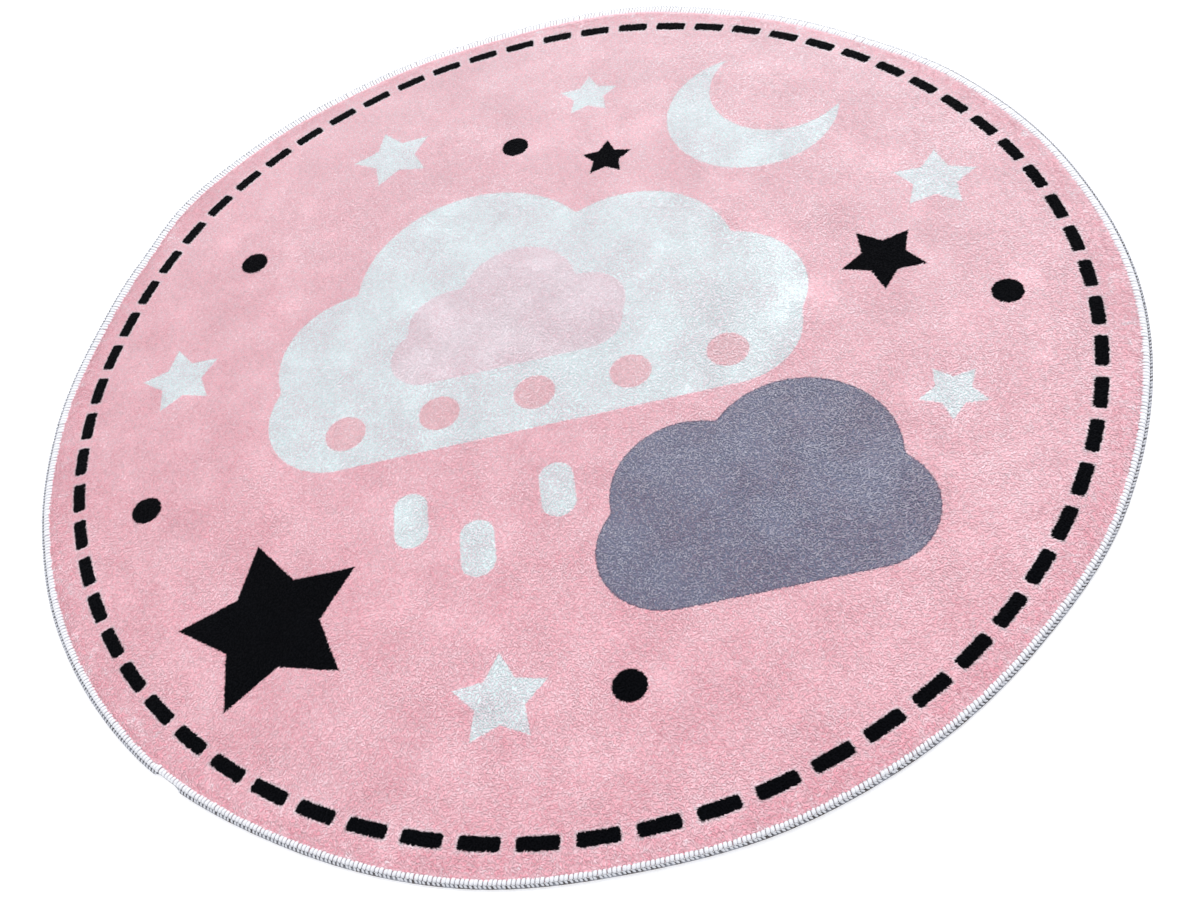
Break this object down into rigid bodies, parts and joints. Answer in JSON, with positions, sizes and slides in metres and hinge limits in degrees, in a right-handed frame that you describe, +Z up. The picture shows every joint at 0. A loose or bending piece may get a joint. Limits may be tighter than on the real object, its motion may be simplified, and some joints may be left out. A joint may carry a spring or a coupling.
{
  "type": "round kids rug",
  "caption": "Round flat plush rug for a child's room: printed short-pile cloth with a dashed ring border and an overlocked yarn edge.",
  "frame": {"origin": "middle of the rug's outline, on the floor that it lies on", "axes": "+Z up out of the pile; +Y towards the top of the printed design; +X to its right"},
  "size_m": [1.0036, 0.9924, 0.011],
  "materials": {
    "plush": "matt short dense plush pile, printed in soft pink, white, cool grey, coral and near-black navy",
    "edging": "matt white textured overlock yarn"
  },
  "bodies": {
    "root": {"pile_cloth": "plush", "overlock_edging": "edging"}
  },
  "joints": []
}
